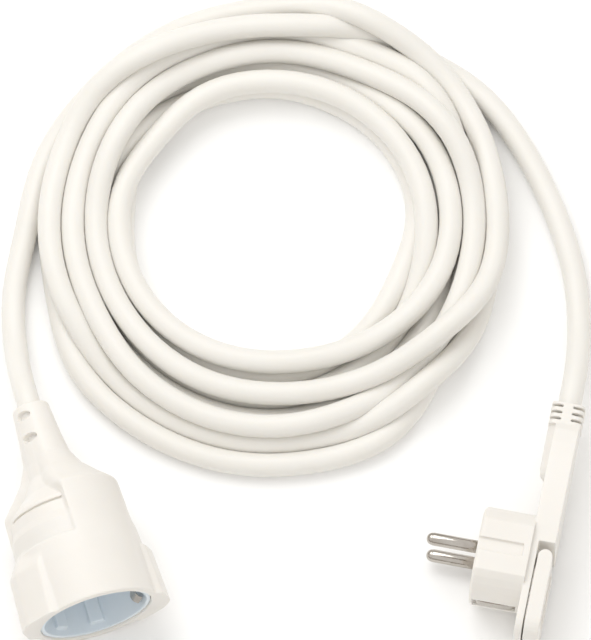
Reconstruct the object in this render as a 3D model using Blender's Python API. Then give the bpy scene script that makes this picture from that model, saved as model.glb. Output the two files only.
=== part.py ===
"""A white mains extension cord: an angled plug with a fold-out pull handle, a coupler, and a coiled cord.

The frame is +Z up with the cord lying on the plane z = 0. The plug and the coupler lie side by side, plug at
+X and coupler at -X, and the coil lies beyond them, at +Y. All the lengths below are in millimetres.
"""

import math

import bmesh
import bpy
from mathutils import Matrix, Vector
from mathutils.geometry import interpolate_bezier

MM = 0.001
GAP = 0.3
CORD_RADIUS = 4.35
BORE_RADIUS = CORD_RADIUS + GAP
WIRE_RADIUS = 1.1
PIN_RADIUS = 2.4
PIN_OFFSET = 9.5
CRIMP_RADIUS = 1.9

# Plug: in its own frame +X runs from the front face to the rear, +Y towards the cable, Z across the pins.
PLUG_PLACE = (66.65, -11.35, 15.5)
PLUG_TURN = -11.0
DISC_RADIUS = 18.4
DISC_FLAT = 15.5
PLATE_FRONT = 19.2
PLATE_REAR = 22.0
ARM_REAR = 28.2
ARM_HALF_WIDTH = 13.5
ARM_LOW_END = -31.0
ARM_TOP = 54.7
RELIEF_TOP = 62.8
CORD_LINE_X = 22.5
PLUG_CORD_END = 36.0
HINGE_X = 25.3
RECESS_TOP = 5.5
LUG_HALF_WIDTH = 6.4
HANDLE_FRONT = 22.6
HANDLE_END_RADIUS = 2.75
STIRRUP_X = 16.4
STRIP_THICKNESS = 0.8

# Coupler: in its own frame +Y runs from the mouth to the cable, and Z across the contacts before the roll.
COUPLER_PLACE = (-73.35, -37.65, 23.5)
COUPLER_TURN = 17.0
COUPLER_ROLL = 18.0
NECK_END = 85.0
COUPLER_CORD_END = 60.0
CUP_RADIUS = 19.6
CUP_FLOOR = 18.0
FLOOR_BACK = 20.5
INSERT_RADIUS = 21.1
INSERT_FRONT = 0.9
INSERT_BACK = 32.0

# The coil's outer shape: an oval ring.
COIL_CENTRE = (-8.75, 116.05)
COIL_HOLE_RADIUS = 51.0
COIL_OUTER_RADIUS = 86.0
COIL_DEPTH_STRETCH = 1.05
COIL_HEIGHT = 20.0
COIL_CORNER = 5.0

# The two uncoiled stretches of the cord, from where each leaves its fitting to the coil.
COUPLER_LEAD = (
    (-99.9, 49.5, 22.0),
    (-103.2, 69.5, 11.0),
    (-104.9, 86.1, 5.5),
    (-103.9, 102.1, 4.4),
    (-101.0, 118.0, 4.4),
)
PLUG_LEAD = (
    (103.3, 61.1, 13.0),
    (104.3, 69.5, 10.0),
    (104.6, 86.1, 5.6),
    (103.3, 102.1, 4.4),
    (100.2, 114.0, 4.4),
    (94.1, 131.7, 4.4),
    (86.7, 147.4, 4.4),
    (77.0, 163.2, 4.4),
    (64.5, 179.5, 4.4),
)

COLOURS = {
    "pvc_white": ((0.87, 0.85, 0.80), 0.5, 0.0),
    "cord_white": ((0.86, 0.84, 0.79), 0.55, 0.0),
    "insert_blue": ((0.55, 0.66, 0.78), 0.45, 0.0),
    "carrier_grey": ((0.62, 0.62, 0.6), 0.5, 0.0),
    "nickel": ((0.72, 0.69, 0.65), 0.25, 1.0),
    "steel": ((0.6, 0.6, 0.6), 0.35, 1.0),
    "brass": ((0.75, 0.6, 0.32), 0.35, 1.0),
    "wire_brown": ((0.25, 0.12, 0.06), 0.5, 0.0),
    "wire_blue": ((0.08, 0.2, 0.55), 0.5, 0.0),
    "wire_green_yellow": ((0.35, 0.5, 0.08), 0.5, 0.0),
}


def clear_scene():
    for obj in list(bpy.data.objects):
        bpy.data.objects.remove(obj, do_unlink=True)


def make_materials():
    made = {}
    for name, (colour, roughness, metallic) in COLOURS.items():
        material = bpy.data.materials.new(name)
        material.use_nodes = True
        shader = material.node_tree.nodes["Principled BSDF"]
        shader.inputs["Base Color"].default_value = (*colour, 1.0)
        shader.inputs["Roughness"].default_value = roughness
        shader.inputs["Metallic"].default_value = metallic
        material.diffuse_color = (*colour, 1.0)
        made[name] = material
    return made


def make_frame(name, place, turn, roll=0.0):
    """An empty that carries one fitting: rolled about its own length, then turned about the vertical."""
    frame = bpy.data.objects.new(name, None)
    frame.matrix_world = (
        Matrix.Translation(Vector(place) * MM)
        @ Matrix.Rotation(math.radians(turn), 4, "Z")
        @ Matrix.Rotation(math.radians(roll), 4, "Y")
    )
    bpy.context.scene.collection.objects.link(frame)
    return frame


def add_solid(name, bm, frame=None, material=None, origin=(0.0, 0.0, 0.0)):
    """An object from a mesh in millimetres, in its frame's axes, with its own origin at the point given."""
    bmesh.ops.translate(bm, verts=bm.verts, vec=-Vector(origin))
    bmesh.ops.scale(bm, verts=bm.verts, vec=(MM, MM, MM))
    bmesh.ops.recalc_face_normals(bm, faces=bm.faces)
    mesh = bpy.data.meshes.new(name)
    bm.to_mesh(mesh)
    bm.free()
    mesh.shade_smooth()
    mesh.set_sharp_from_angle(angle=math.radians(35))
    obj = bpy.data.objects.new(name, mesh)
    obj.location = Vector(origin) * MM
    obj.parent = frame
    if material:
        mesh.materials.append(material)
    bpy.context.scene.collection.objects.link(obj)
    return obj


def combine(target, operation, bm, label):
    """Cuts a helper shape from a solid, joins it on, or keeps only what the two share."""
    helper = add_solid(f"{target.name}_{label}", bm, target.parent, origin=target.location / MM)
    helper.hide_render = True
    helper.display_type = "WIRE"
    modifier = target.modifiers.new(label, "BOOLEAN")
    modifier.operation = operation
    modifier.solver = "EXACT"
    modifier.object = helper


def cut(target, bm, label):
    combine(target, "DIFFERENCE", bm, label)


def join(target, bm, label):
    combine(target, "UNION", bm, label)


def loft(rings, closed=False):
    """A closed solid through rings of equally many points, capped unless it closes on itself."""
    bm = bmesh.new()
    layers = [[bm.verts.new(point) for point in ring] for ring in rings]
    count = len(rings[0])
    pairs = list(zip(layers, layers[1:]))
    if closed:
        pairs.append((layers[-1], layers[0]))
    else:
        bm.faces.new(layers[0])
        bm.faces.new(layers[-1])
    for lower, upper in pairs:
        for i in range(count):
            j = (i + 1) % count
            bm.faces.new((lower[i], lower[j], upper[j], upper[i]))
    return bm


def box(low, high):
    (x0, y0, z0), (x1, y1, z1) = low, high
    outline = ((x0, y0), (x1, y0), (x1, y1), (x0, y1))
    return loft([[(x, y, z) for x, y in outline] for z in (z0, z1)])


def lathe(axis, centre, profile, sides=32):
    """A turned solid along a principal axis, from (position, radius) pairs; centre is on the other two."""
    rings = []
    for position, radius in profile:
        ring = []
        for i in range(sides):
            angle = 2 * math.pi * (i + 0.5) / sides
            a = centre[0] + radius * math.cos(angle)
            b = centre[1] + radius * math.sin(angle)
            ring.append({"X": (position, a, b), "Y": (a, position, b), "Z": (a, b, position)}[axis])
        rings.append(ring)
    return loft(rings)


def arc(centre, radius, start, end, steps=6):
    """Points round part of a circle, with its angles in degrees."""
    angles = [math.radians(start + (end - start) * i / steps) for i in range(steps + 1)]
    return [(centre[0] + radius * math.cos(a), centre[1] + radius * math.sin(a)) for a in angles]


def rounded_rectangle(half_width, low, high, low_radius, high_radius):
    """An outline symmetric about its second axis, with rounded corners, as (along, across) points."""
    points = arc((low + low_radius, low_radius - half_width), low_radius, 180, 270)
    points += arc((high - high_radius, high_radius - half_width), high_radius, 270, 360)
    points += arc((high - high_radius, half_width - high_radius), high_radius, 0, 90)
    points += arc((low + low_radius, half_width - low_radius), low_radius, 90, 180)
    return points


def slab(outline, front, rear):
    """An outline in Y and Z, given as (y, z) points, extruded along X."""
    return loft([[(x, y, z) for y, z in outline] for x in (front, rear)])


def smooth_path(points, spacing):
    """Evenly spaced points on one smooth curve through the points given."""
    points = [Vector(point) for point in points]
    ends = [2 * points[0] - points[1]] + points + [2 * points[-1] - points[-2]]
    fine = []
    for before, start, end, after in zip(ends, ends[1:], ends[2:], ends[3:]):
        leave = start + (end - before) / 6
        arrive = end - (after - start) / 6
        fine += interpolate_bezier(start, leave, arrive, end, 24)[:-1]
    fine.append(points[-1])
    length = sum((b - a).length for a, b in zip(fine, fine[1:]))
    count = max(2, round(length / spacing))
    path, walked = [fine[0]], 0.0
    for a, b in zip(fine, fine[1:]):
        walked += (b - a).length
        if walked >= length * len(path) / count and len(path) < count:
            path.append(b)
    return path + [fine[-1]]


def add_tube(name, points, radius, material, frame=None, spacing=20.0, resolution=3):
    """A round cord or wire: a curve along a smooth path, with filled ends."""
    curve = bpy.data.curves.new(name, "CURVE")
    curve.dimensions = "3D"
    curve.bevel_depth = radius * MM
    curve.bevel_resolution = resolution
    curve.use_fill_caps = True
    path = smooth_path(points, spacing)
    spline = curve.splines.new("POLY")
    spline.points.add(len(path) - 1)
    for target, point in zip(spline.points, path):
        target.co = (*(point * MM), 1.0)
    curve.materials.append(material)
    obj = bpy.data.objects.new(name, curve)
    obj.parent = frame
    bpy.context.scene.collection.objects.link(obj)


def disc_outline(radius, flat):
    """The plug's round front with two flat sides, as (y, z) points."""
    edge = math.degrees(math.asin(flat / radius))
    return arc((0, 0), radius, -edge, edge, 12) + arc((0, 0), radius, 180 - edge, 180 + edge, 12)


def arm_outline():
    """The rear plate and the arm seen from behind, tapering to the strain relief, as (y, z) points."""
    low_corner = 6.7
    start = ARM_LOW_END + low_corner
    shoulder = ARM_HALF_WIDTH - low_corner
    side = arc((start, -shoulder), low_corner, 180, 270)
    side += [(12.0, -ARM_HALF_WIDTH), (46.0, -10.2), (51.5, -8.6), (ARM_TOP, -6.0)]
    return side + [(y, -z) for y, z in reversed(side)]


def make_plug_body(frame, material):
    disc = [
        [(x, y, z) for y, z in disc_outline(DISC_RADIUS - inset, DISC_FLAT - inset)]
        for x, inset in ((0.0, 0.8), (0.8, 0.0), (PLATE_FRONT + 0.4, 0.0))
    ]
    body = add_solid("plug_body", loft(disc), frame, material)
    arm = slab(arm_outline(), PLATE_FRONT, ARM_REAR)
    join(body, arm, "arm")
    bulge_profile = ((32.6, 2.0), (33.4, 4.2), (35.0, 5.4), (37.4, 5.9), (ARM_TOP + 0.5, 5.9))
    join(body, lathe("Y", (CORD_LINE_X - 0.3, 0), bulge_profile), "cord_bulge")
    half = 6.25
    block_outline = rounded_rectangle(half, CORD_LINE_X - half, CORD_LINE_X + half, 2.6, 2.6)
    block = loft([[(x, y, z) for x, z in block_outline] for y in (ARM_TOP - 0.7, RELIEF_TOP)])
    join(body, block, "strain_relief")
    cut_handle_recess(body)
    cut_plug_chambers(body)
    cut_plug_grooves(body)
    cut_relief_slots(body)


def cut_handle_recess(body):
    reach = 40.0
    recess = box((PLATE_REAR, -reach, -reach), (reach, RECESS_TOP, reach))
    cut(body, recess, "handle_recess")
    lug_radius = 2.6
    outline = [(PLATE_REAR - 0.6, -lug_radius)]
    outline += arc((HINGE_X, 0), lug_radius, -90, 90, 10)
    outline += [(PLATE_REAR - 0.6, lug_radius)]
    lug = loft([[(x, y, z) for x, y in outline] for z in (-LUG_HALF_WIDTH, LUG_HALF_WIDTH)])
    join(body, lug, "hinge_lug")
    bore = lathe("Z", (HINGE_X, 0), ((-10, 1.5), (10, 1.5)), 20)
    cut(body, bore, "hinge_bore")


def cut_plug_chambers(body):
    cut(body, box((-1, -6.5, -12.5), (15.6, 6.5, 12.5)), "carrier_pocket")
    cut(body, box((15.5, -6.5, -12.3), (20.7, 12.0, 12.3)), "terminal_chamber")
    cut(body, box((15.5, 7.2, -5.4), (26.8, 16.0, 5.4)), "wire_opening")
    cut(body, box((20.7, 15.0, -5.4), (26.8, PLUG_CORD_END, 5.4)), "wire_channel")
    bore = lathe("Y", (CORD_LINE_X, 0), ((PLUG_CORD_END - 1, BORE_RADIUS), (RELIEF_TOP + 1, BORE_RADIUS)))
    cut(body, bore, "cord_bore")


def cut_plug_grooves(body):
    for side in (-1, 1):
        label = "low" if side < 0 else "high"
        z_pair = sorted((side * 14.3, side * 17.0))
        cut(body, box((-1, -2.5, z_pair[0]), (17.0, 2.5, z_pair[1])), f"{label}_guide_groove")
        y_pair = sorted((side * 16.8, side * 20.0))
        cut(body, box((1.5, y_pair[0], -2.8), (17.6, y_pair[1], 2.8)), f"{label}_earth_recess")
    slot = box((STIRRUP_X - GAP, -18.0, -2.6), (STIRRUP_X + STRIP_THICKNESS + GAP, 18.0, 2.6))
    cut(body, slot, "stirrup_slot")


def cut_relief_slots(body):
    slot_width, spine_half = 0.9, 1.8
    for i in range(3):
        low = ARM_TOP + 1.1 + 2.5 * i
        for side in (-1, 1):
            x_pair = sorted((CORD_LINE_X + side * spine_half, CORD_LINE_X + side * 8.0))
            slot = box((x_pair[0], low, -8.0), (x_pair[1], low + slot_width, 8.0))
            cut(body, slot, f"relief_slot_{i}_{'front' if side < 0 else 'rear'}")


def make_plug_contacts(frame, materials):
    carrier = box((0.2, -6.2, -12.2), (15.3, 6.2, 12.2))
    carrier = add_solid("plug_contact_carrier", carrier, frame, materials["carrier_grey"])
    tip = [(-19.0 + 2.4 - 2.4 * math.cos(a), PIN_RADIUS * math.sin(a)) for a in (0.25, 0.6, 0.95, 1.3)]
    for name, side in (("live", 1), ("neutral", -1)):
        z = side * PIN_OFFSET
        hole = lathe("X", (0, z), ((-1, PIN_RADIUS + GAP), (17, PIN_RADIUS + GAP)))
        cut(carrier, hole, f"{name}_hole")
        pin = lathe("X", (0, z), [*tip, (-19.0 + 2.4, PIN_RADIUS), (15.3, PIN_RADIUS)], 24)
        add_solid(f"plug_pin_{name}", pin, frame, materials["nickel"])
        crimp = lathe("Y", (18.1, z), ((-2.5, CRIMP_RADIUS), (3.5, CRIMP_RADIUS)), 14)
        add_solid(f"plug_crimp_{name}", crimp, frame, materials["brass"])
    back = STIRRUP_X + STRIP_THICKNESS
    crimp = lathe("Y", (back + GAP + 1.4, 0), ((-2.5, 1.35), (3.5, 1.35)), 14)
    add_solid("plug_crimp_earth", crimp, frame, materials["brass"])


def make_plug_stirrup(frame, material):
    """The earth contact: one strip bent to a U, its two legs in the recesses at the disc's sides."""
    half_width = 2.25
    outer, inner = 17.9, 17.9 - STRIP_THICKNESS
    back = STIRRUP_X + STRIP_THICKNESS
    outline = [(2.5, inner), (3.3, outer), (back, outer), (back, -outer), (3.3, -outer), (2.5, -inner)]
    outline += [(3.3, -inner), (STIRRUP_X, -inner), (STIRRUP_X, inner), (3.3, inner)]
    strip = loft([[(x, y, z) for x, y in outline] for z in (-half_width, half_width)])
    add_solid("plug_earth_stirrup", strip, frame, material)


def make_plug_wires(frame, materials):
    end = PLUG_CORD_END - GAP
    side_route = [(18.1, 4.6, 9.4), (18.2, 5.8, 8.9), (18.8, 9.4, 4.2), (21.2, 12.6, 3.4), (23.3, 17, 3.0)]
    side_route.append((23.5, end, 2.4))
    routes = {
        "brown": side_route,
        "blue": [(x, y, -z) for x, y, z in side_route],
        "green_yellow": [(18.9, 4.4, 0), (18.9, 6.5, 0), (20.6, 11.5, 0), (22.2, 17, 0), (22.2, end, 0)],
    }
    for colour, route in routes.items():
        add_tube(f"plug_wire_{colour}", route, WIRE_RADIUS, materials[f"wire_{colour}"], frame, 3.0, 2)


def make_pull_handle(frame, materials):
    """The bail on the plug's rear: a flat frame with a finger opening, rounded about its hinge."""
    profile = [(HANDLE_FRONT, ARM_LOW_END)]
    profile += [(HANDLE_FRONT, -1.2)]
    profile += arc((HINGE_X, 0), HANDLE_END_RADIUS, 170, 10, 10)
    profile += [(ARM_REAR, -1.2), (ARM_REAR, ARM_LOW_END)]
    half = ARM_HALF_WIDTH
    side_slab = loft([[(x, y, z) for x, y in profile] for z in (-half, half)])
    pivot = (HINGE_X, 0.0, 0.0)
    handle = add_solid("pull_handle", side_slab, frame, materials["pvc_white"], pivot)
    plan = rounded_rectangle(half, ARM_LOW_END, 6.0, 6.7, 1.0)
    combine(handle, "INTERSECT", slab(plan, HANDLE_FRONT - 2, ARM_REAR + 2), "plan")
    opening = rounded_rectangle(LUG_HALF_WIDTH + 0.5, -23.5, 8.0, 3.5, 1.0)
    cut(handle, slab(opening, HANDLE_FRONT - 4, ARM_REAR + 4), "finger_opening")
    cut(handle, lathe("Z", (HINGE_X, 0), ((-12.3, 1.5), (12.3, 1.5)), 20), "hinge_bore")
    pin = lathe("Z", (HINGE_X, 0), ((-12.0, 0.9), (-11.7, 1.2), (11.7, 1.2), (12.0, 0.9)), 20)
    add_solid("handle_hinge_pin", pin, frame, materials["steel"])


def oval(y, half_u, half_z, power, sides=40):
    """One ring of the coupler's outer surface: a section a little squarer than an ellipse."""
    ring = []
    for i in range(sides):
        angle = 2 * math.pi * i / sides
        c, s = math.cos(angle), math.sin(angle)
        ring.append((
            half_u * math.copysign(abs(c) ** (2 / power), c),
            y,
            half_z * math.copysign(abs(s) ** (2 / power), s),
        ))
    return ring


def make_coupler_body(frame, material):
    sections = (
        (0.0, 23.2, 23.2, 2.0), (0.6, 23.5, 23.5, 2.0), (21.0, 23.3, 23.2, 2.05), (34.0, 22.5, 22.3, 2.15),
        (45.5, 22.2, 21.8, 2.15), (47.5, 21.6, 21.0, 2.1), (52.0, 16.4, 16.0, 2.0), (57.0, 12.0, 11.8, 2.0),
        (63.0, 9.3, 9.3, 2.0), (72.0, 8.0, 8.0, 2.0), (78.0, 7.4, 7.4, 2.0), (84.2, 6.7, 6.7, 2.0),
        (NECK_END, 6.1, 6.1, 2.0),
    )
    body = add_solid("coupler_body", loft([oval(*section) for section in sections]), frame, material)
    for side in (-1, 1):
        join(body, grip_lug(side), f"{'left' if side < 0 else 'right'}_grip")
    cavity = (
        (-1.0, 21.4), (33.5, 21.4), (34.5, 17.0), (46.0, 9.0),
        (54.0, 5.6), (COUPLER_CORD_END, BORE_RADIUS), (NECK_END + 1, BORE_RADIUS),
    )
    cut(body, lathe("Y", (0, 0), cavity, 40), "cavity")
    cut(body, flank(), "flank")
    for i, y in enumerate((71.6, 80.5)):
        for angle in (143.0, 323.0):
            slot = box((5.2, y - 1.3, -3.2), (12.0, y + 1.3, 3.2))
            turn = Matrix.Rotation(math.radians(-angle), 4, "Y")
            bmesh.ops.transform(slot, matrix=turn, verts=slot.verts)
            cut(body, slot, f"neck_slot_{i}_{'upper' if angle < 180 else 'lower'}")


def grip_lug(side):
    """A finger grip at the mouth's side, a ridge that fades into the body towards the cable."""
    rings = []
    for y, peak, inner in ((0.3, 29.2, 14.0), (19.0, 28.2, 13.0), (22.5, 26.0, 12.0), (26.0, 22.6, 10.0)):
        shoulder = peak - 3.6
        upper = ((17.0, inner), (shoulder, inner - 2.5), (peak, 4.0))
        outline = upper + tuple((x, -z) for x, z in reversed(upper))
        rings.append([(side * x, y, z) for x, z in outline])
    return loft(rings)


def flank():
    """What is taken off the upper left flank, behind a step: couplers carry their rating there."""
    rings = []
    profile = ((27.4, 22.0), (34.6, 21.9), (37.5, 20.6), (41, 20.2), (45.6, 17.8), (50, 13.4), (56.3, 9.6))
    for y, depth_radius in profile:
        inner = arc((0, 0), depth_radius, 106, 219, 14)
        outer = arc((0, 0), 27.0, 219, 106, 14)
        rings.append([(x, y, z) for x, z in inner + outer])
    return loft(rings)


def make_coupler_insert(frame, materials):
    profile = ((INSERT_FRONT, INSERT_RADIUS), (INSERT_BACK, INSERT_RADIUS))
    insert = add_solid("coupler_insert", lathe("Y", (0, 0), profile, 40), frame, materials["insert_blue"])
    cut(insert, lathe("Y", (0, 0), ((-1, CUP_RADIUS), (CUP_FLOOR, CUP_RADIUS)), 40), "cup")
    rear = lathe("Y", (0, 0), ((FLOOR_BACK, CUP_RADIUS), (INSERT_BACK + 1, CUP_RADIUS)), 40)
    cut(insert, rear, "rear_chamber")
    for i, angle in enumerate((68, 112, 248, 292)):
        join(insert, guide_rib(angle), f"guide_rib_{i}")
    for name, side in (("live", 1), ("neutral", -1)):
        hole = lathe("Y", (0, side * PIN_OFFSET), ((10, 2.9), (25, 2.9)), 24)
        cut(insert, hole, f"{name}_hole")
        window = sorted((side * 17.9, side * 19.4))
        cut(insert, box((window[0], 10, -2.8), (window[1], 25, 2.8)), f"clip_window_{name}")
    cover = lathe("Y", (0, 0), ((28.6, 19.2), (31.0, 19.2)), 40)
    cover = add_solid("coupler_back_cover", cover, frame, materials["insert_blue"])
    for i, z in enumerate((-PIN_OFFSET, 0.0, PIN_OFFSET)):
        cut(cover, lathe("Y", (0, z), ((27, 2.3), (33, 2.3)), 20), f"crimp_hole_{i}")


def guide_rib(angle):
    """One of the four ribs in the cup that line the plug up: a block standing in from the wall."""
    inner, outer, half_width, front = 17.9, 20.3, 2.6, 4.0
    bm = box((-half_width, front, inner), (half_width, CUP_FLOOR + 0.6, outer))
    turn = Matrix.Rotation(math.radians(90 - angle), 4, "Y")
    bmesh.ops.transform(bm, matrix=turn, verts=bm.verts)
    return bm


def make_coupler_contacts(frame, materials):
    for name, side in (("live", 1), ("neutral", -1)):
        z = side * PIN_OFFSET
        tube = lathe("Y", (0, z), ((20.9, 3.7), (27.5, 3.7)), 24)
        contact = add_solid(f"coupler_contact_{name}", tube, frame, materials["brass"])
        cut(contact, lathe("Y", (0, z), ((19, 2.6), (26.3, 2.6)), 24), "mouth")
        cut(contact, box((-0.4, 19, z - 5), (0.4, 25.5, z + 5)), "split")
        crimp = lathe("Y", (0, z), ((27.8, CRIMP_RADIUS), (34.0, CRIMP_RADIUS)), 14)
        add_solid(f"coupler_crimp_{name}", crimp, frame, materials["brass"])
    crimp = lathe("Y", (0, 0), ((27.6, CRIMP_RADIUS), (34.0, CRIMP_RADIUS)), 14)
    add_solid("coupler_crimp_earth", crimp, frame, materials["brass"])


def make_coupler_stirrup(frame, material):
    """The earth contact: a U whose legs come through the cup's floor and bow in to press on the plug."""
    half_width = 2.5
    spine = [(19.0, 26.4), (19.0, 15.5), (17.8, 9.5), (17.8, 8.5), (18.9, 4.6)]
    outer = [(x, y) for x, y in spine]
    inner = [(x - STRIP_THICKNESS, y) for x, y in spine]
    back = 27.2
    right = [(outer[0][0], back)] + outer[1:] + list(reversed(inner))[:-1] + [inner[0]]
    left = [(-x, y) for x, y in reversed(right)]
    outline = right + left
    strip = loft([[(x, y, z) for x, y in outline] for z in (-half_width, half_width)])
    add_solid("coupler_earth_stirrup", strip, frame, material)


def make_coupler_wires(frame, materials):
    end = COUPLER_CORD_END - GAP
    routes = {
        "brown": ((0, 34.7, 9.5), (0, 36.2, 9.3), (0.8, 43, 5.4), (1.2, 50, 2.9), (1.2, end, 2.1)),
        "blue": ((0, 34.7, -9.5), (0, 36.2, -9.3), (0.8, 43, -5.4), (1.2, 50, -2.9), (1.2, end, -2.1)),
        "green_yellow": ((0, 34.7, 0), (-0.4, 37, 0), (-2.2, 44, 0), (-2.2, 51, 0), (-2.0, end, 0)),
    }
    for colour, route in routes.items():
        add_tube(f"coupler_wire_{colour}", route, WIRE_RADIUS, materials[f"wire_{colour}"], frame, 3.0, 2)


def make_coil(material):
    """The coil's outer shape: a rounded section turned about the vertical, a little longer in depth."""
    middle = (COIL_HOLE_RADIUS + COIL_OUTER_RADIUS) / 2
    half = (COIL_OUTER_RADIUS - COIL_HOLE_RADIUS) / 2
    section = rounded_rectangle(half, 0.0, COIL_HEIGHT, COIL_CORNER, COIL_CORNER)
    steps = 48
    rings = []
    for i in range(steps):
        angle = 2 * math.pi * i / steps
        rings.append([
            (
                COIL_CENTRE[0] + (middle + across) * math.cos(angle),
                COIL_CENTRE[1] + (middle + across) * math.sin(angle) * COIL_DEPTH_STRETCH,
                height,
            )
            for height, across in section
        ])
    add_solid("cord_coil", loft(rings, closed=True), None, material)


def make_leads(plug, coupler, material):
    """The cord's two uncoiled stretches: each starts on its fitting's own cord line, inside the bore."""
    inside = [(0.0, y, 0.0) for y in (COUPLER_CORD_END + GAP, 72.0, NECK_END, NECK_END + 5.0)]
    start = [coupler.matrix_world.to_3x3() @ Vector(p) + Vector(COUPLER_PLACE) for p in inside]
    add_tube("cord_coupler_lead", start + list(COUPLER_LEAD), CORD_RADIUS, material, spacing=10.0)
    inside = [(CORD_LINE_X, y, 0.0) for y in (PLUG_CORD_END + GAP, 50.0, RELIEF_TOP, RELIEF_TOP + 5.0)]
    start = [plug.matrix_world.to_3x3() @ Vector(p) + Vector(PLUG_PLACE) for p in inside]
    add_tube("cord_plug_lead", start + list(PLUG_LEAD), CORD_RADIUS, material, spacing=10.0)


def main():
    clear_scene()
    materials = make_materials()
    plug = make_frame("plug_frame", PLUG_PLACE, PLUG_TURN)
    make_plug_body(plug, materials["pvc_white"])
    make_plug_contacts(plug, materials)
    make_plug_stirrup(plug, materials["nickel"])
    make_plug_wires(plug, materials)
    make_pull_handle(plug, materials)
    coupler = make_frame("coupler_frame", COUPLER_PLACE, COUPLER_TURN, COUPLER_ROLL)
    make_coupler_body(coupler, materials["pvc_white"])
    make_coupler_insert(coupler, materials)
    make_coupler_contacts(coupler, materials)
    make_coupler_stirrup(coupler, materials["nickel"])
    make_coupler_wires(coupler, materials)
    make_coil(materials["cord_white"])
    make_leads(plug, coupler, materials["cord_white"])


main()
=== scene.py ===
import math

import bpy
import numpy as np
from mathutils import Matrix, Vector


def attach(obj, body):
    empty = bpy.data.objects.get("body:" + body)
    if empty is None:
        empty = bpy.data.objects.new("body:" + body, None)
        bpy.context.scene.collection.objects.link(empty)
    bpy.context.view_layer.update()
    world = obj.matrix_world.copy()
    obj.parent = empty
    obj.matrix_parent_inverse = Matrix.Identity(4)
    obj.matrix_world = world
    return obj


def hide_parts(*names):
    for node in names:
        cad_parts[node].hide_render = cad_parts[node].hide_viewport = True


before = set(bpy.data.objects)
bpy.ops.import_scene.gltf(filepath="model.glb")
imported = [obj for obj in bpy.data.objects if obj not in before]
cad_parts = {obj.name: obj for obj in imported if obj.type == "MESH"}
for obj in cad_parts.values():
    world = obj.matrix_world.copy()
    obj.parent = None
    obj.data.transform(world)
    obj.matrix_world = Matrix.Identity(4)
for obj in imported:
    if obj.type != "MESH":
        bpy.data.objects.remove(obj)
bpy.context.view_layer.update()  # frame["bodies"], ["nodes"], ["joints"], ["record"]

MM = 0.001
# The view: how far off in metres, how wide at the point it aims at, how steeply down, and that point in mm.
VIEW_DISTANCE = 7.5
VIEW_WIDTH = 0.2189
VIEW_RISE = 70.5
VIEW_AIM = (-0.25, 86.05, 0.0)
ROOT = "cord_and_fittings"
HANDLE = "handle"

# The two fittings' places and turns, which part.py builds them at, in millimetres and degrees.
PLUG_PLACE, PLUG_TURN = (66.65, -11.35, 15.5), -11.0
COUPLER_PLACE, COUPLER_TURN, COUPLER_ROLL = (-73.35, -37.65, 23.5), 17.0, 18.0

# The cord: a 3-core PVC cable 8.7 mm thick, wound clockwise in about eight turns.
CORD_DIAMETER = 8.7
CORD_RADIUS = CORD_DIAMETER / 2
CORD_STEP = 5.0
TIGHTEST_BEND = 38.0
# How it settles: how far it sinks in a round, how much its bending evens out, how firmly it keeps to its
# plan in the coil, in its two leads and later on, and how many points each lead has and each fitting holds.
SINK = 0.1
EVENING = 0.25
KEPT_TO_PLAN, LEADS_KEPT_TO_PLAN, KEPT_LATER = 0.1, 0.25, 0.6
LEAD_POINTS = (24, 42)
HELD_POINTS = (6, 8)
# Strands planned this far apart in height part upwards as they settle; later only those that cross do.
PLANNED_RISE, NO_PLANNED_RISE = 2.5, 99.0
CONTACT = CORD_DIAMETER * 1.004
COIL_CENTRE = (-9.55, 120.8)
HOLE_RADIUS = 50.7

COUPLER_LEAD = (
    (-99.85, 49.45, 22.9), (-103.15, 69.45, 13.5), (-104.85, 86.05, 6.5), (-103.85, 102.05, 4.4),
    (-99.6, 117.95, 4.4),
)
PLUG_LEAD = (
    (47.5, 185.8, 7), (63.0, 177.8, 5.2), (76.95, 163.15, 4.4), (86.65, 147.35, 4.4), (94.05, 131.65, 4.4),
    (100.15, 113.95, 4.4), (103.25, 102.05, 4.4), (104.55, 86.05, 5.6), (104.25, 69.45, 10.0),
    (103.25, 61.05, 13.0),
)
# The strand's way round the coil, one group a pass: its angle, its distance outside the hole's edge, and its
# height. 180 is the left, 90 the far side, 0 the right and -90 the near side, before 180 again.
PASSES = (
    ((165, 33.2, 4.4), (150, 31.1, 7), (133, 29.5, 11.5), (110, 29.5, 12.5), (90, 31.5, 11.5),
     (68, 31.5, 17), (42, 34.6, 19), (20, 33, 18), (0, 33, 16), (-90, 17.3, 13)),
    ((180, 13.4, 12.5), (90, 17.6, 13), (0, 25.7, 12), (-90, 29.8, 13)),
    ((180, 22.5, 13), (90, 24.5, 12), (65, 25.5, 13), (40, 28.0, 12.5), (20, 26, 8), (0, 21.75, 4.4),
     (-90, 42.4, 4.4)),
    ((180, 31, 4.4), (145, 27, 8), (131, 25.5, 12), (115, 23.5, 8), (90, 21.6, 4.4), (0, 13.05, 4.4),
     (-90, 25.1, 4.4)),
    ((180, 22.5, 4.4), (90, 13.6, 4.4), (0, 16.1, 13), (-90, 4.9, 13)),
    ((180, 6, 13), (90, 4.0, 13), (0, 6.9, 13), (-90, 16.4, 4.4)),
    ((180, 13, 4.4), (90, 5.8, 4.4), (0, 4.35, 4.4), (-90, 7.7, 4.4)),
    ((180, 4.35, 4.3), (165, 6, 4.0), (120, 29, 4.0), (90, 29.5, 4.3), (45, 26, 4.4), (0, 30.45, 4.4),
     (-42, 33, 13), (-90, 33.8, 4.4)),
    ((180, 31.1, 13), (150, 29.5, 15.5), (128, 26, 20.5), (115, 24.5, 21.5), (90, 23.5, 20), (75, 26.5, 16),
     (60, 31.5, 8.5)),
)


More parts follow.
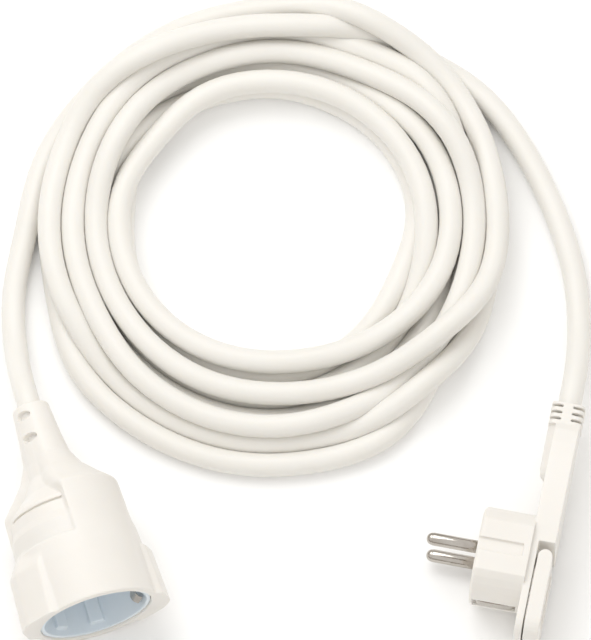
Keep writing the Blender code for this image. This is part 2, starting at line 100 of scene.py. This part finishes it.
def smooth_curve(points, step):
    """Points about a step apart on one smooth curve through the points given."""
    points = np.asarray(points, float)
    ends = np.vstack([2 * points[0] - points[1], points, 2 * points[-1] - points[-2]])
    fine = []
    for p0, p1, p2, p3 in zip(ends, ends[1:], ends[2:], ends[3:]):
        chord = np.sqrt([np.linalg.norm(b - a) + 1e-9 for a, b in ((p0, p1), (p1, p2), (p2, p3))])
        t0, t1, t2, t3 = 0.0, chord[0], chord[0] + chord[1], chord.sum()
        for t in np.linspace(t1, t2, 24, endpoint=False):
            a1 = (t1 - t) / (t1 - t0) * p0 + (t - t0) / (t1 - t0) * p1
            a2 = (t2 - t) / (t2 - t1) * p1 + (t - t1) / (t2 - t1) * p2
            a3 = (t3 - t) / (t3 - t2) * p2 + (t - t2) / (t3 - t2) * p3
            b1 = (t2 - t) / (t2 - t0) * a1 + (t - t0) / (t2 - t0) * a2
            b2 = (t3 - t) / (t3 - t1) * a2 + (t - t1) / (t3 - t1) * a3
            fine.append((t2 - t) / (t2 - t1) * b1 + (t - t1) / (t2 - t1) * b2)
    fine.append(points[-1])
    return even_points(np.array(fine), step)


def even_points(points, step):
    """The same line, with its points the same distance apart."""
    lengths = np.r_[0.0, np.cumsum(np.linalg.norm(np.diff(points, axis=0), axis=1))]
    count = max(2, round(lengths[-1] / step))
    at = np.linspace(0, lengths[-1], count + 1)
    return np.column_stack([np.interp(at, lengths, points[:, k]) for k in range(3)])


def fitting(place, turn, roll=0.0):
    """The matrix of one fitting's own frame, in metres."""
    return (
        Matrix.Translation(Vector(place) * MM)
        @ Matrix.Rotation(math.radians(turn), 4, "Z")
        @ Matrix.Rotation(math.radians(roll), 4, "Y")
    )


PLUG = fitting(PLUG_PLACE, PLUG_TURN)
COUPLER = fitting(COUPLER_PLACE, COUPLER_TURN, COUPLER_ROLL)


def on(matrix, *points):
    """Points in a fitting's own frame, placed in the shared one, both in millimetres."""
    return [np.array(matrix @ (Vector(p) * MM)) / MM for p in points]


def planned_cord():
    """The cord's route before it settles, from inside the coupler's neck to inside the plug's arm."""
    start = on(COUPLER, (0, 62, 0), (0, 74, 0), (0, 85, 0))
    end = on(PLUG, (22.5, 62.8, 0), (22.5, 50, 0), (22.5, 38, 0))
    coil = []
    knots = [(k * 360.0 + 180.0 - side, lane, height)
             for k, turn in enumerate(PASSES) for side, lane, height in turn]
    swept, lanes, heights = np.array(knots).T
    for angle in np.arange(15.0, swept[-1] + 1, 15.0):
        radius = HOLE_RADIUS + eased(angle, swept, lanes)
        turn = math.radians(180.0 - angle)
        x, y = COIL_CENTRE[0] + radius * math.cos(turn), COIL_CENTRE[1] + radius * math.sin(turn)
        coil.append((x, y, eased(angle, swept, heights)))
    points = start + list(COUPLER_LEAD) + coil + list(PLUG_LEAD) + end
    return smooth_curve(points, CORD_STEP)


def eased(angle, swept, values):
    """A value between two knots, leaving one and reaching the next with no change of direction."""
    i = int(np.clip(np.searchsorted(swept, angle, side="right") - 1, 0, len(swept) - 2))
    t = (angle - swept[i]) / (swept[i + 1] - swept[i])
    return values[i] + (values[i + 1] - values[i]) * t * t * (3 - 2 * t)


def near_pairs(points, reach, skip):
    """Pairs of a point and a cord segment that are close but not neighbours along the cord."""
    middles = (points[1:] + points[:-1]) / 2
    gap = ((points[:, None, :] - middles[None, :, :]) ** 2).sum(axis=2)
    i, j = np.nonzero(gap < reach ** 2)
    apart = np.abs(i - j) > skip
    return i[apart], j[apart]


def push_apart(points, i, j, order, least):
    """Moves points and segments off each other; strands that cross part upwards, in the order planned.

    So do those whose planned heights differ by more than the least that is given.
    """
    a, b = points[j], points[j + 1]
    along = b - a
    t = np.clip(((points[i] - a) * along).sum(1) / (along ** 2).sum(1), 0, 1)[:, None]
    off = points[i] - (a + t * along)
    gap = np.linalg.norm(off, axis=1)[:, None] + 1e-9
    push = off / gap * np.maximum(CONTACT - gap, 0) / 2
    flat = np.linalg.norm(off[:, :2], axis=1)
    above = order[i] - (order[j] + order[j + 1]) / 2
    crossing = (flat < 0.5 * CONTACT) | (np.abs(above) > least)
    up = np.sign(above)
    lift = np.maximum(np.sqrt(np.maximum(CONTACT ** 2 - flat ** 2, 0)) - off[:, 2] * up, 0) * up / 2
    push[crossing] = np.stack([0 * lift, 0 * lift, lift], axis=1)[crossing]
    deep = (push ** 2).sum(1) > 0
    i, j, t, push = i[deep], j[deep], t[deep], push[deep]
    moved = np.zeros_like(points)
    count = np.zeros((len(points), 1))
    for index, shift, weight in ((i, push, 1 + 0 * t), (j, -push, 1 - t), (j + 1, -push, t)):
        np.add.at(moved, index, shift * weight)
        np.add.at(count, index, weight)
    points += moved / np.maximum(count, 1.0)


def keep_length(points, step, held):
    """Brings each segment back to its length: odd segments, then even ones."""
    for first in (0, 1):
        a, b = points[first:-1:2], points[first + 1::2]
        along = b - a
        length = np.linalg.norm(along, axis=1)[:, None]
        move = along * (length - step) / length / 2
        points[first:-1:2] += move * (1 - held[first:-1:2, None])
        points[first + 1::2] -= move * (1 - held[first + 1::2, None])


def straighten(points, free):
    """Evens out the bending along the cord, as its stiffness does, without shrinking its loops."""
    bend = np.zeros_like(points)
    bend[1:-1] = (points[2:] + points[:-2]) / 2 - points[1:-1]
    stiff = np.zeros_like(points)
    stiff[1:-1] = bend[1:-1] - (bend[2:] + bend[:-2]) / 2
    points += EVENING * stiff * free


def unkink(points, free):
    """Eases each bend that is tighter than the cord takes, moving its point against its neighbours."""
    bend = (points[2:] + points[:-2]) / 2 - points[1:-1]
    size = np.linalg.norm(bend, axis=1)[:, None] + 1e-9
    ease = np.maximum(1 - CORD_STEP ** 2 / (2 * TIGHTEST_BEND) / size, 0) * bend
    points[1:-1] += 0.4 * ease * free[1:-1]
    points[:-2] -= 0.2 * ease * free[:-2]
    points[2:] -= 0.2 * ease * free[2:]


def settle(points, rounds):
    """Lets the wound cord come to rest: it keeps its length, bends gently, and lies on itself."""
    plan = points.copy()
    points = points.copy()
    held = np.zeros(len(points))
    held[:HELD_POINTS[0]] = held[-HELD_POINTS[1]:] = 1.0
    free = (1 - held)[:, None]
    hold = np.full((len(points), 1), KEPT_TO_PLAN)
    hold[:LEAD_POINTS[0]] = hold[-LEAD_POINTS[1]:] = LEADS_KEPT_TO_PLAN
    for n in range(rounds):
        early = n < 0.5 * rounds
        if n % 10 == 0:
            i, j = near_pairs(points, CORD_DIAMETER + 6.0, 5)
            step = np.linalg.norm(np.diff(points, axis=0), axis=1).mean()
        points += np.array([0.0, 0.0, -SINK]) * free
        points[:, :2] += (1.0 if early else KEPT_LATER) * hold * (plan - points)[:, :2] * free
        keep_length(points, step, held)
        push_apart(points, i, j, plan[:, 2], PLANNED_RISE if early else NO_PLANNED_RISE)
        for _ in range(5):
            straighten(points, free)
            unkink(points, free)
        np.maximum(points[:, 2], CORD_RADIUS, out=points[:, 2])
        points[held > 0] = plan[held > 0]
    for _ in range(40):
        unkink(points, free)
        straighten(points, free)
    return points


def make_camera():
    """The view from the front and well above, through a long lens."""
    data = bpy.data.cameras.new("camera")
    data.sensor_fit = "HORIZONTAL"
    data.sensor_width = 36.0
    data.lens = 36.0 * VIEW_DISTANCE / VIEW_WIDTH
    data.clip_end = 100.0
    camera = bpy.data.objects.new("camera", data)
    bpy.context.scene.collection.objects.link(camera)
    aim = Vector(VIEW_AIM) * MM
    rise = math.radians(VIEW_RISE)
    camera.location = aim + Vector((0.0, -math.cos(rise), math.sin(rise))) * VIEW_DISTANCE
    camera.rotation_euler = (math.radians(90.0) - rise, 0.0, 0.0)
    bpy.context.scene.camera = camera


def new_material(name, colour, roughness):
    material = bpy.data.materials.new(name)
    material.use_nodes = True
    shader = material.node_tree.nodes["Principled BSDF"]
    shader.inputs["Base Color"].default_value = (*colour, 1)
    shader.inputs["Roughness"].default_value = roughness
    return material, material.node_tree.nodes, material.node_tree.links, shader


def noise_node(nodes, links, coordinates, scale, detail=3.0, roughness=0.55):
    noise = nodes.new("ShaderNodeTexNoise")
    noise.inputs["Scale"].default_value = scale
    noise.inputs["Detail"].default_value = detail
    noise.inputs["Roughness"].default_value = roughness
    links.new(coordinates.outputs["Object"], noise.inputs["Vector"])
    return noise


def ramp_node(nodes, links, source, low, high):
    """Two colours, or two greys, that a noise moves between."""
    ramp = nodes.new("ShaderNodeValToRGB")
    ramp.color_ramp.elements[0].position = 0.3
    ramp.color_ramp.elements[1].position = 0.7
    ramp.color_ramp.elements[0].color = (*low, 1)
    ramp.color_ramp.elements[1].color = (*high, 1)
    links.new(source, ramp.inputs["Fac"])
    return ramp


def grey(value):
    return (value, value, value)


def moulded_plastic(name, colour, darker, roughness, grain=900.0, bump=0.06, soft=0.0):
    """Moulded PVC: a faint cloudiness of colour and gloss, and a fine grain from the mould."""
    material, nodes, links, shader = new_material(name, colour, roughness)
    where = nodes.new("ShaderNodeTexCoord")
    cloud = noise_node(nodes, links, where, 35.0, 4.0)
    tint = ramp_node(nodes, links, cloud.outputs["Fac"], darker, colour)
    links.new(tint.outputs["Color"], shader.inputs["Base Color"])
    rubbed = noise_node(nodes, links, where, 140.0, 5.0)
    gloss = ramp_node(nodes, links, rubbed.outputs["Fac"], grey(roughness - 0.06), grey(roughness + 0.08))
    links.new(gloss.outputs["Color"], shader.inputs["Roughness"])
    fine = noise_node(nodes, links, where, grain, 4.0, 0.6)
    dents = nodes.new("ShaderNodeBump")
    dents.inputs["Strength"].default_value = bump
    dents.inputs["Distance"].default_value = 0.0004
    links.new(fine.outputs["Fac"], dents.inputs["Height"])
    links.new(dents.outputs["Normal"], shader.inputs["Normal"])
    shader.inputs["Subsurface Weight"].default_value = soft
    shader.inputs["Subsurface Radius"].default_value = (1.0, 0.9, 0.75)
    shader.inputs["Subsurface Scale"].default_value = 0.0015
    shader.inputs["Specular IOR Level"].default_value = 0.4
    return material


def plated_metal(name, colour, darker, roughness):
    """Plated or stamped metal: fine lengthwise drawing marks, and a little tarnish."""
    material, nodes, links, shader = new_material(name, colour, roughness)
    shader.inputs["Metallic"].default_value = 1.0
    where = nodes.new("ShaderNodeTexCoord")
    tarnish = noise_node(nodes, links, where, 120.0, 5.0)
    tint = ramp_node(nodes, links, tarnish.outputs["Fac"], darker, colour)
    links.new(tint.outputs["Color"], shader.inputs["Base Color"])
    stretch = nodes.new("ShaderNodeMapping")
    stretch.inputs["Rotation"].default_value = (0.0, 0.0, math.radians(PLUG_TURN))
    stretch.inputs["Scale"].default_value = (0.08, 1.0, 1.0)
    links.new(where.outputs["Object"], stretch.inputs["Vector"])
    drawn = nodes.new("ShaderNodeTexNoise")
    drawn.inputs["Scale"].default_value = 2500.0
    drawn.inputs["Detail"].default_value = 2.0
    links.new(stretch.outputs["Vector"], drawn.inputs["Vector"])
    gloss = ramp_node(nodes, links, drawn.outputs["Fac"], grey(roughness - 0.05), grey(roughness + 0.08))
    links.new(gloss.outputs["Color"], shader.inputs["Roughness"])
    marks = nodes.new("ShaderNodeBump")
    marks.inputs["Strength"].default_value = 0.08
    marks.inputs["Distance"].default_value = 0.0002
    links.new(drawn.outputs["Fac"], marks.inputs["Height"])
    links.new(marks.outputs["Normal"], shader.inputs["Normal"])
    return material


def link_mesh(name, vertices, faces, material, replaced, body=ROOT):
    """A piece from points in millimetres in the shared frame, standing for the nodes it replaces."""
    mesh = bpy.data.meshes.new(name)
    mesh.from_pydata([tuple(np.array(v) * MM) for v in vertices], [], faces)
    return link_piece(name, mesh, material, replaced, body)


def link_piece(name, mesh, material, replaced, body=ROOT):
    mesh.shade_smooth()
    mesh.materials.clear()
    mesh.materials.append(material)
    obj = bpy.data.objects.new(name, mesh)
    bpy.context.scene.collection.objects.link(obj)
    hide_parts(*replaced)
    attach(obj, body)
    return obj


def rounded_copy(name, node, material, voxel=0.35, rounds=8):
    """A node's own shape with the softened edges that a moulding has."""
    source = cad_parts[node]
    mesh = source.data.copy()
    mesh.transform(source.matrix_world)
    mesh.materials.clear()
    mesh.materials.append(material)
    obj = bpy.data.objects.new(name, mesh)
    bpy.context.scene.collection.objects.link(obj)
    remesh = obj.modifiers.new("even", "REMESH")
    remesh.mode = "VOXEL"
    remesh.voxel_size = voxel * MM
    remesh.use_smooth_shade = True
    soften = obj.modifiers.new("soften", "SMOOTH")
    soften.factor = 0.5
    soften.iterations = rounds
    body = HANDLE if node == "pull_handle" else ROOT
    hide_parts(node)
    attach(obj, body)
    return obj


def smoothstep(x, low, high):
    t = np.clip((x - low) / (high - low), 0, 1)
    return t * t * (3 - 2 * t)


def smooth_max(a, b, width):
    return (a + b + np.sqrt((a - b) ** 2 + width ** 2)) / 2


def smooth_min(a, b, width):
    return (a + b - np.sqrt((a - b) ** 2 + width ** 2)) / 2


# The coupler's outline, as (distance from the mouth, radius): round most of it, and over its cut-away flank.
ROUND_SIDE = (
    (0.0, 22.9), (0.5, 23.5), (22.0, 23.4), (35.0, 22.8), (45.0, 22.5), (46.8, 22.4), (47.8, 21.9),
    (52.6, 17.0), (57.6, 12.4), (63.8, 9.2), (72.0, 8.0), (84.0, 6.9), (84.8, 6.4), (85.0, 5.6),
)
CUT_SIDE = (
    (0.0, 22.9), (0.5, 23.5), (20.0, 23.4), (26.6, 23.1), (27.6, 22.1), (34.0, 22.0), (37.0, 20.9),
    (41.0, 20.3), (43.5, 19.6), (45.6, 17.8), (50.0, 12.6), (56.3, 8.9), (62.0, 8.0), (72.0, 7.5),
    (84.0, 6.9), (84.8, 6.4), (85.0, 5.6),
)
# The angles that the cut-away flank and the blank plate on it lie between, and each finger grip's height
# over the coupler's axis, as (distance from the mouth, height).
FLANK = (106.0, 216.0)
PLATE = (110.0, 184.0)
LEFT_GRIP = ((0, 28.9), (20, 27.6), (22.2, 26.5), (27.9, 22.5), (29.7, 18.0), (33, 1.0))
RIGHT_GRIP = ((0, 28.9), (19.5, 27.9), (21.5, 25.3), (30.8, 24.4), (34.0, 20.0), (38, 1.0))
GRIP_HALF_WIDTH = 13.2
# The neck's slots: distances from the mouth, angles, half the length as an angle, and the floor's radius.
SLOT_PLACES, SLOT_ANGLES, SLOT_REACH, SLOT_FLOOR = (71.6, 80.5), (143.0, 323.0), 25.0, 5.2


def coupler_radius(s, angle):
    """The coupler body's outer radius in mm, at a distance from the mouth and an angle in degrees."""
    plain = np.interp(s, *np.array(ROUND_SIDE).T)
    cut = np.interp(s, *np.array(CUT_SIDE).T)
    soft = 3.0 + 30.0 * smoothstep(s, 42.0, 56.0)
    first, last = FLANK
    inside = smoothstep(angle, first, first + soft) * (1 - smoothstep(angle, last - soft, last))
    radius = plain + (cut - plain) * inside
    low, high = PLATE
    plate = smoothstep(angle, low - 1, low + 1) * (1 - smoothstep(angle, high - 2, high + 2))
    groove = smoothstep(s, 41.0, 41.3) * (1 - smoothstep(s, 41.9, 42.2)) * plate
    radius -= 1.3 * groove
    c, v = np.cos(np.radians(angle)), np.sin(np.radians(angle))
    peak = np.where(c < 0, np.interp(s, *np.array(LEFT_GRIP).T), np.interp(s, *np.array(RIGHT_GRIP).T))
    grip = smooth_min(peak / (np.abs(c) + 1e-6), (peak + 2.4) / (np.abs(c) + 0.66 * np.abs(v)), 0.7)
    grip = smooth_min(grip, GRIP_HALF_WIDTH / (np.abs(v) + 1e-6), 0.7)
    radius = smooth_max(radius, grip, 0.5)
    for middle in SLOT_PLACES:
        for side in SLOT_ANGLES:
            across = np.abs((angle - side + 180) % 360 - 180)
            end = np.sqrt(np.maximum(1 - (across / SLOT_REACH) ** 2, 0)) * 1.5
            hole = (1 - smoothstep(np.abs(s - middle), end - 0.25, end + 0.15)) * (across < SLOT_REACH)
            radius = radius - np.maximum(radius - SLOT_FLOOR, 0) * hole
    return radius


def make_coupler_shell(material):
    """The coupler's outer body, as one closed skin: outside from mouth to neck, then back inside."""
    outside = np.r_[np.linspace(0, 26, 60, endpoint=False), np.linspace(26, 50, 110, endpoint=False),
                    np.linspace(50, 68, 45, endpoint=False), np.linspace(68, 85, 90)]
    inside = ((85.0, 4.65), (60.0, 4.65), (54.0, 5.6), (46.0, 9.0), (34.5, 17.0), (33.5, 21.2), (0.5, 21.2),
              (0.15, 21.3), (0.0, 21.6))
    sides = 240
    angles = np.arange(sides) * 360.0 / sides
    vertices = []
    for s in outside:
        radii = coupler_radius(np.full(sides, s), angles)
        vertices += [(r * math.cos(t), s, r * math.sin(t)) for r, t in zip(radii, np.radians(angles))]
    for s, radius in inside:
        vertices += [(radius * math.cos(t), s, radius * math.sin(t)) for t in np.radians(angles)]
    rings = len(outside) + len(inside)
    faces = []
    for k in range(rings):
        for i in range(sides):
            j, n = (i + 1) % sides, (k + 1) % rings
            faces.append((k * sides + j, k * sides + i, n * sides + i, n * sides + j))
    placed = on(COUPLER, *vertices)
    shell = link_mesh("coupler_shell", placed, faces, material, ["coupler_body"])
    shell.data.set_sharp_from_angle(angle=math.radians(50))
    return shell


def capped_tube(rings, size):
    """The faces that join rings of points, each of the same size, and close the two ends."""
    faces = []
    for k in range(rings - 1):
        for i in range(size):
            j = (i + 1) % size
            faces.append((k * size + i, k * size + j, (k + 1) * size + j, (k + 1) * size + i))
    return faces + [tuple(range(size))[::-1], tuple((rings - 1) * size + i for i in range(size))]


def ribbon(name, route, width, thickness, material, replaced, matrix):
    """A metal strip of even thickness along a smooth route in its fitting's X and Y, centred on Z = 0."""
    flat = smooth_curve([(x, y, 0.0) for x, y in route], 0.4)[:, :2]
    along = np.gradient(flat, axis=0)
    normal = np.column_stack([-along[:, 1], along[:, 0]]) / np.linalg.norm(along, axis=1)[:, None]
    half, depth, soft = width / 2, thickness / 2, thickness * 0.22
    section = ((-depth, -half + soft), (-depth, half - soft), (-depth + soft, half), (depth - soft, half),
               (depth, half - soft), (depth, -half + soft), (depth - soft, -half), (-depth + soft, -half))
    vertices = [(*(p + n * out), z) for p, n in zip(flat, normal) for out, z in section]
    faces = capped_tube(len(flat), len(section))
    piece = link_mesh(name, on(matrix, *vertices), faces, material, replaced)
    piece.data.set_sharp_from_angle(angle=math.radians(40))
    return piece


def make_pin(name, z, material, node):
    """One of the plug's round pins, with a rounded tip and a fine turned edge where the tip begins."""
    tip = np.linspace(0.06, math.pi / 2, 10)
    profile = [(-19.0 + 2.2 * (1 - math.cos(t)), 2.3 * math.sin(t)) for t in tip]
    profile += [(-16.75, 2.34), (-16.6, 2.4), (15.2, 2.4)]
    sides = 48
    turns = [2 * math.pi * i / sides for i in range(sides)]
    vertices = [(x, r * math.cos(t), z + r * math.sin(t)) for x, r in profile for t in turns]
    faces = capped_tube(len(profile), sides)
    return link_mesh(name, on(PLUG, *vertices), faces, material, [node])


def make_cord(material):
    points = settle(planned_cord(), 400)
    curve = bpy.data.curves.new("cord", "CURVE")
    curve.dimensions = "3D"
    curve.bevel_depth = CORD_RADIUS * MM
    curve.bevel_resolution = 8
    curve.use_fill_caps = True
    spline = curve.splines.new("POLY")
    spline.points.add(len(points) - 1)
    for target, point in zip(spline.points, points):
        target.co = (*(point * MM), 1.0)
    curve.materials.append(material)
    cord = bpy.data.objects.new("cord", curve)
    bpy.context.scene.collection.objects.link(cord)
    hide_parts("cord_coil", "cord_coupler_lead", "cord_plug_lead")
    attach(cord, ROOT)


def make_lights():
    """A white studio: a surround that darkens towards the horizon, and one large soft light from above."""
    world = bpy.data.worlds.new("studio")
    world.use_nodes = True
    nodes, links = world.node_tree.nodes, world.node_tree.links
    surround = nodes["Background"]
    where = nodes.new("ShaderNodeTexCoord")
    split = nodes.new("ShaderNodeSeparateXYZ")
    links.new(where.outputs["Generated"], split.inputs["Vector"])
    ramp = nodes.new("ShaderNodeValToRGB")
    ramp.color_ramp.elements[0].position = 0.02
    ramp.color_ramp.elements[1].position = 0.45
    ramp.color_ramp.elements[0].color = (0.30, 0.26, 0.20, 1)
    ramp.color_ramp.elements[1].color = (1.0, 0.99, 0.97, 1)
    links.new(split.outputs["Z"], ramp.inputs["Fac"])
    links.new(ramp.outputs["Color"], surround.inputs["Color"])
    surround.inputs["Strength"].default_value = 0.95
    bpy.context.scene.world = world
    area_light("key", (-0.35, 0.6, 1.1), (0, 0.08, 0), (1.0, 0.8), 5.4)


def area_light(name, place, target, size, power):
    data = bpy.data.lights.new(name, "AREA")
    data.shape = "RECTANGLE"
    data.size, data.size_y = size
    data.energy = power
    light = bpy.data.objects.new(name, data)
    light.location = place
    light.rotation_euler = (Vector(target) - Vector(place)).to_track_quat("-Z", "Y").to_euler()
    bpy.context.scene.collection.objects.link(light)


def make_floor():
    mesh = bpy.data.meshes.new("floor")
    mesh.from_pydata([(-4, -4, 0), (4, -4, 0), (4, 4, 0), (-4, 4, 0)], [], [(0, 1, 2, 3)])
    floor = bpy.data.objects.new("floor", mesh)
    bpy.context.scene.collection.objects.link(floor)
    mesh.materials.append(new_material("floor", (1.0, 1.0, 1.0), 0.9)[0])


def paint_nodes(materials):
    """Gives each CAD node that stays its own finish."""
    kinds = {
        "plug_contact_carrier": "white_pvc",
        "handle_hinge_pin": "nickel",
        "coupler_back_cover": "blue_insert",
    }
    for name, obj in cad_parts.items():
        kind = kinds.get(name)
        if "crimp" in name or "contact_" in name and name.startswith("coupler"):
            kind = "brass"
        for colour in ("brown", "blue", "green_yellow"):
            if name.endswith(f"wire_{colour}"):
                kind = f"core_{colour}"
        if kind and obj.type == "MESH":
            obj.data.materials.clear()
            obj.data.materials.append(materials[kind])


def main():
    bpy.context.scene.view_settings.view_transform = "Standard"
    make_camera()
    materials = {
        "cord_pvc": moulded_plastic(
            "cord_pvc", (0.845, 0.825, 0.785), (0.82, 0.80, 0.755), 0.42, grain=700.0, bump=0.1, soft=0.25),
        "white_pvc": moulded_plastic(
            "white_pvc", (0.855, 0.83, 0.79), (0.83, 0.80, 0.755), 0.40, grain=1100.0, bump=0.1, soft=0.25),
        "blue_insert": moulded_plastic(
            "blue_insert", (0.79, 0.85, 0.90), (0.75, 0.82, 0.88), 0.35, grain=1200.0, bump=0.06, soft=0.1),
        "nickel": plated_metal("nickel", (0.56, 0.53, 0.49), (0.44, 0.40, 0.36), 0.13),
        "brass": plated_metal("brass", (0.78, 0.62, 0.34), (0.66, 0.5, 0.26), 0.3),
        "core_brown": moulded_plastic("core_brown", (0.2, 0.09, 0.04), (0.16, 0.07, 0.03), 0.45),
        "core_blue": moulded_plastic("core_blue", (0.05, 0.14, 0.5), (0.04, 0.11, 0.42), 0.45),
        "core_green_yellow": moulded_plastic("core_green_yellow", (0.6, 0.6, 0.05), (0.1, 0.4, 0.08), 0.45),
    }
    make_cord(materials["cord_pvc"])
    make_coupler_shell(materials["white_pvc"])
    rounded_copy("coupler_socket", "coupler_insert", materials["blue_insert"], 0.3, 4)
    leg = [(19.0, 26.0), (19.0, 16.0), (18.2, 11.0), (16.9, 7.0), (16.6, 5.6), (17.4, 4.0), (18.7, 3.2)]
    clip = leg[::-1] + [(18.2, 26.8), (0.0, 26.8), (-18.2, 26.8)] + [(-x, y) for x, y in leg]
    ribbon("coupler_clip", clip, 5.0, 0.8, materials["nickel"], ["coupler_earth_stirrup"], COUPLER)
    rounded_copy("plug_shell", "plug_body", materials["white_pvc"], 0.25, 5)
    rounded_copy("handle_shell", "pull_handle", materials["white_pvc"], 0.25, 7)
    side = [(2.6, 17.0), (3.6, 17.5), (14.0, 17.5), (16.8, 16.6)]
    strap = side + [(16.8, 0.0)] + [(x, -y) for x, y in reversed(side)]
    ribbon("plug_strap", strap, 4.5, 0.8, materials["nickel"], ["plug_earth_stirrup"], PLUG)
    make_pin("plug_pin_a", 9.5, materials["nickel"], "plug_pin_live")
    make_pin("plug_pin_b", -9.5, materials["nickel"], "plug_pin_neutral")
    paint_nodes(materials)
    make_floor()
    make_lights()


main()
